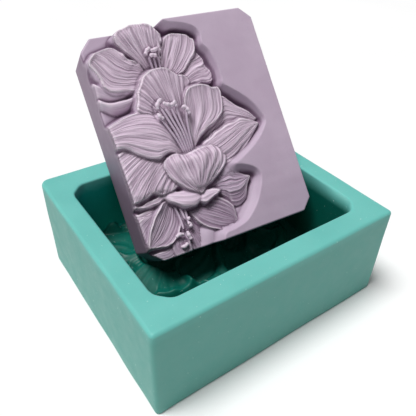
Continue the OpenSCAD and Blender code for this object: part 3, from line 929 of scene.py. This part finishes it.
class Nodes:
    """A short way to write one material's node tree."""

    def __init__(self, name):
        self.material = bpy.data.materials.new(name)
        self.material.use_nodes = True
        self.tree = self.material.node_tree
        self.place = self.add("TexCoord", "Object")

    def fill(self, node, values):
        """Gives a node's sockets their links or their fixed values."""
        for key, value in values.items():
            if isinstance(value, bpy.types.NodeSocket):
                self.tree.links.new(value, node.inputs[key])
            else:
                node.inputs[key].default_value = value

    def add(self, kind, output, values=None, **settings):
        node = self.tree.nodes.new("ShaderNode" + kind)
        for key, value in settings.items():
            setattr(node, key, value)
        self.fill(node, values or {})
        return node.outputs[output]

    def finish(self, values):
        """Gives the surface its colour, gloss and the like, and hands over the material."""
        self.fill(self.tree.nodes["Principled BSDF"], values)
        return self.material

    def noise(self, scale, detail=4):
        values = {"Vector": self.place, "Scale": scale, "Detail": detail, "Roughness": 0.55}
        return self.add("TexNoise", "Fac", values)

    def attribute(self, name, output="Fac"):
        return self.add("Attribute", output, attribute_name=name)

    def times(self, first, second):
        return self.add("Math", 0, {0: first, 1: second}, operation="MULTIPLY")

    def streaks(self, across, along):
        """Fine lines that run along each petal, from its own place on the petal."""
        place = {0: self.attribute("petal", "Vector"), 1: (across, along, 1)}
        place = self.add("VectorMath", 0, place, operation="MULTIPLY")
        return self.add("TexNoise", "Fac", {"Vector": place, "Scale": 1, "Detail": 3})

    def remap(self, value, low, high, to_low, to_high):
        ends = {"From Min": low, "From Max": high, "To Min": to_low, "To Max": to_high}
        return self.add("MapRange", "Result", {"Value": value, **ends})

    def mix(self, share, first, second):
        """A blend of two colours, each a socket or a display colour."""
        first, second = (linear(c) if isinstance(c, tuple) else c for c in (first, second))
        return self.add("Mix", 2, {0: share, 6: first, 7: second}, data_type="RGBA")

    def bump(self, height, strength, distance, below=None):
        values = {"Height": height, "Strength": strength, "Distance": distance}
        return self.add("Bump", "Normal", values if below is None else {**values, "Normal": below})


def soap_material():
    """Opaque melt-and-pour soap: waxy lilac, a little cloudy, with fine speckle on the surface; paler petals,
    painted highlights on ridges and stamens, and painted shade in vein lines, gaps, the lowest lily and the
    sides.
    """
    n = Nodes("lilac_soap")
    body = n.mix(n.remap(n.noise(70, 3), 0.35, 0.65, 0, 1), (191, 171, 192), (198, 179, 199))
    body = n.mix(n.remap(n.noise(900, 2), 0.62, 0.75, 0, 0.35), body, (182, 160, 186))
    # Paler petals by each petal's tone; the low tone of petals in shade is painted shade.
    body = n.mix(n.attribute("petal_paleness_and_shade"), body, (234, 213, 232))
    # Fine vein lines: painted darker as shade in their grooves, and bumped.
    streak = n.times(n.remap(n.streaks(2, 0.05), 0.38, 0.62, 1, 0), n.attribute("veined"))
    body = n.mix(n.remap(streak, 0, 1, 0, 0.6), body, (142, 114, 140))
    # Painted highlight on the petals' ridges and on the stamens.
    body = n.mix(n.remap(n.attribute("crest_highlight"), 0, 1, 0, 0.8), body, (244, 229, 242))
    # Painted shade in gaps, beside raised edges, by the cove and on the lowest lily.
    body = n.mix(n.remap(n.attribute("painted_shade"), 0.1, 0.95, 0, 0.84), body, (104, 74, 102))
    # Painted shade on the bar's sides.
    body = n.mix(n.remap(n.attribute("side"), 0, 1, 0, 0.95), body, (142, 121, 142))
    grain = n.bump(n.noise(2600, 3), 0.12, 0.0002)
    lines = n.bump(streak, 0.9, -0.0003, grain)
    return n.finish({
        "Base Color": body,
        "Roughness": n.remap(n.noise(260), 0.3, 0.7, 0.5, 0.62),
        "Subsurface Weight": 0.1,
        "Subsurface Radius": (1, 0.7, 0.85),
        "Subsurface Scale": 0.0007,
        "Specular IOR Level": 0.35,
        "Normal": n.bump(n.noise(220), 0.1, 0.0006, lines),
    })


def silicone_material():
    """Tin-cure silicone: satin teal, slightly see-through at its edges, with faint clouding and dust. Painted
    shade darkens the cavity deeper down and the outer faces below the rim, and painted light brightens the
    cavity's far wall.
    """
    n = Nodes("teal_silicone")
    body = n.mix(n.remap(n.noise(45), 0.3, 0.7, 0, 1), (108, 190, 182), (116, 197, 189))
    # Painted light: the far wall of the cavity lighter, as if lit through the silicone.
    deep = n.mix(n.attribute("painted_far_wall_light"), (0, 99, 86), (20, 200, 184))
    # Painted shade deeper in the cavity.
    body = n.mix(n.attribute("painted_shade"), body, deep)
    # Painted shade on the outer faces below the rim.
    body = n.mix(n.remap(n.attribute("wall"), 0, 1, 0, 0.8), body, (79, 151, 139))
    body = n.mix(n.remap(n.noise(1000, 1), 0.755, 0.78, 0, 0.7), body, (190, 225, 218))
    grain = n.bump(n.noise(1800, 3), 0.1, 0.0002)
    return n.finish({
        "Base Color": body,
        "Roughness": n.remap(n.noise(180), 0.3, 0.7, 0.42, 0.56),
        "Subsurface Weight": 0.3,
        "Subsurface Radius": (0.35, 1, 0.85),
        "Subsurface Scale": 0.0022,
        "Specular IOR Level": 0.4,
        "Normal": n.bump(n.noise(120), 0.12, 0.0008, grain),
    })


def floor_material():
    """A plain pale studio floor."""
    n = Nodes("pale_floor")
    colour = n.mix(n.remap(n.noise(6, 2), 0.3, 0.7, 0, 1), (250, 250, 250), (253, 253, 253))
    return n.finish({"Base Color": colour, "Roughness": 0.8})


# ---- scene
def make_floor():
    bpy.ops.mesh.primitive_plane_add(size=6, location=(0, 0, -0.0002))
    floor = bpy.context.object
    floor.name = "floor"
    floor.data.materials.append(floor_material())


def make_camera():
    camera = bpy.data.objects.new("camera", bpy.data.cameras.new("camera"))
    bpy.context.scene.collection.objects.link(camera)
    camera.data.lens = CAMERA_LENS
    camera.data.sensor_width = 36
    camera.data.clip_start = 0.01
    turn = (
        Matrix.Rotation(math.radians(CAMERA_AZIMUTH), 4, "Z")
        @ Matrix.Rotation(math.radians(90 - CAMERA_ELEVATION), 4, "X")
        @ Matrix.Rotation(math.radians(CAMERA_ROLL), 4, "Z")
    )
    camera.matrix_world = Matrix.Translation(Vector(CAMERA_PLACE) * MM) @ turn
    bpy.context.scene.camera = camera


def make_lights():
    sun = bpy.data.lights.new("key", "SUN")
    sun.energy = SUN_STRENGTH
    sun.angle = math.radians(SUN_SIZE)
    lamp = bpy.data.objects.new("key", sun)
    bpy.context.scene.collection.objects.link(lamp)
    lamp.rotation_euler = Vector(SUN_DIRECTION).to_track_quat("-Z", "Y").to_euler()
    world = bpy.data.worlds.new("studio")
    world.use_nodes = True
    sky = world.node_tree.nodes["Background"].inputs
    sky["Color"].default_value, sky["Strength"].default_value = (1, 1, 1, 1), SKY_STRENGTH
    bpy.context.scene.world = world
    bpy.context.scene.view_settings.view_transform = "Standard"


make_floor()
make_camera()
make_lights()

bar = Bar()
block = Block()
relief = Relief()

soap_bar = make_bar(bar, relief, soap_material())
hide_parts("soap_bar")
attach(soap_bar, "bar")

mould = make_mould(bar, block, relief, silicone_material())
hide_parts("silicone_mould")
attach(mould, "mould")
